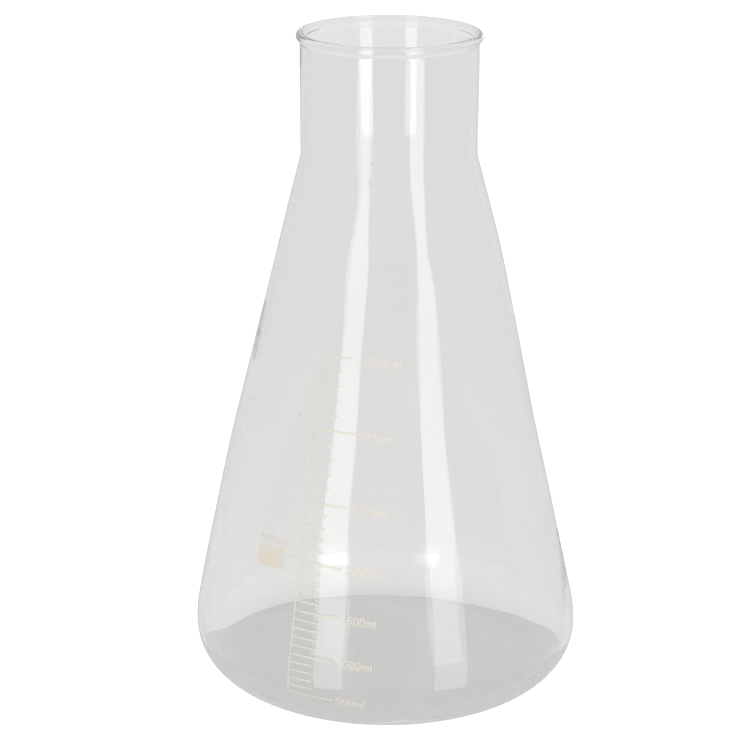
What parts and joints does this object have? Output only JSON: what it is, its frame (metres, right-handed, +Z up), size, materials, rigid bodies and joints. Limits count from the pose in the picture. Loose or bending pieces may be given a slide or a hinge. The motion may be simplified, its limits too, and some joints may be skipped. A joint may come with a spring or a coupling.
{
  "type": "erlenmeyer flask",
  "caption": "Conical borosilicate laboratory flask with a wide cylindrical neck, a beaded rim, and a fired enamel volume scale with a marking panel.",
  "frame": {"origin": "centre of the circle that the foot stands on, on the flask's axis", "axes": "+Z up along the flask's axis to the mouth; -Y is the front, the side the scale is read from"},
  "size_m": [0.19, 0.19, 0.321],
  "materials": {
    "borosilicate_glass": "clear, fire-polished",
    "enamel_print": "fired cream enamel, satin"
  },
  "bodies": {
    "root": {"flask": "borosilicate_glass", "scale_spine": "enamel_print", "scale_lines_500ml": "enamel_print", "scale_lines_100ml": "enamel_print", "numerals_500ml": "enamel_print", "numerals_1000ml": "enamel_print", "numerals_1500ml": "enamel_print", "numerals_2000ml": "enamel_print", "numerals_2500ml": "enamel_print", "numerals_3000ml": "enamel_print", "numerals_3500ml": "enamel_print", "capacity_numerals": "enamel_print", "marking_panel": "enamel_print"}
  },
  "joints": []
}
